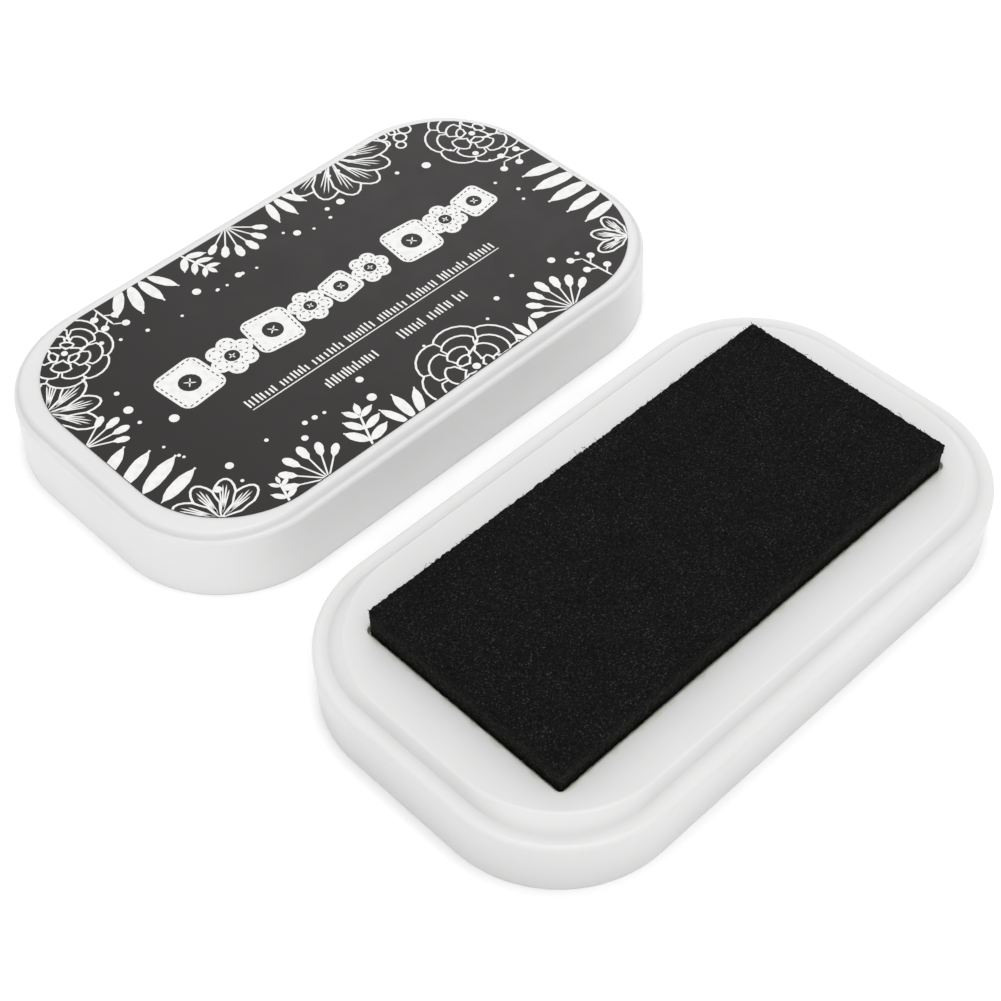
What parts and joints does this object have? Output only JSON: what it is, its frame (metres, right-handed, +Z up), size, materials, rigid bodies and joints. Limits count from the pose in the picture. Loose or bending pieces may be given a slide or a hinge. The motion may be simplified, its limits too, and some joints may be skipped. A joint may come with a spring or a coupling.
{
  "type": "stamp ink pad",
  "caption": "Rounded-rectangle stamp ink pad: shallow moulded base with a raised ink-soaked pad, and a lift-off lid with a printed label lying beside it.",
  "frame": {"origin": "midway between the base and the lid, on the surface they both stand on", "axes": "+Z up, +X along the length of both pieces, +Y from the base towards the lid"},
  "size_m": [0.1, 0.1256, 0.0156],
  "materials": {
    "white_plastic": "satin, slightly milky polypropylene",
    "lid_plastic": "satin, slightly milky polypropylene",
    "adhesive": "tacky film",
    "foam": "ink-soaked open-cell foam",
    "felt": "ink-soaked felt",
    "label_print": "satin printed film",
    "label_ink": "white ink printed on the label film"
  },
  "bodies": {
    "base": {"base_shell": "white_plastic", "pad_adhesive": "adhesive", "foam_core": "foam"},
    "pad_face": {"felt_face": "felt"},
    "lid": {"lid_shell": "lid_plastic", "lid_label": "label_print"}
  },
  "joints": [
    {"name": "lid_lift", "type": "slide", "parent": "base", "child": "lid", "axis": [0, 0, 1], "range_m": [0, 0.05]},
    {"name": "pad_press", "type": "slide", "parent": "base", "child": "pad_face", "axis": [0, 0, -1], "range_m": [0, 0.0008], "stiffness_N_per_m": 6000, "deforming": ["foam_core"]}
  ]
}
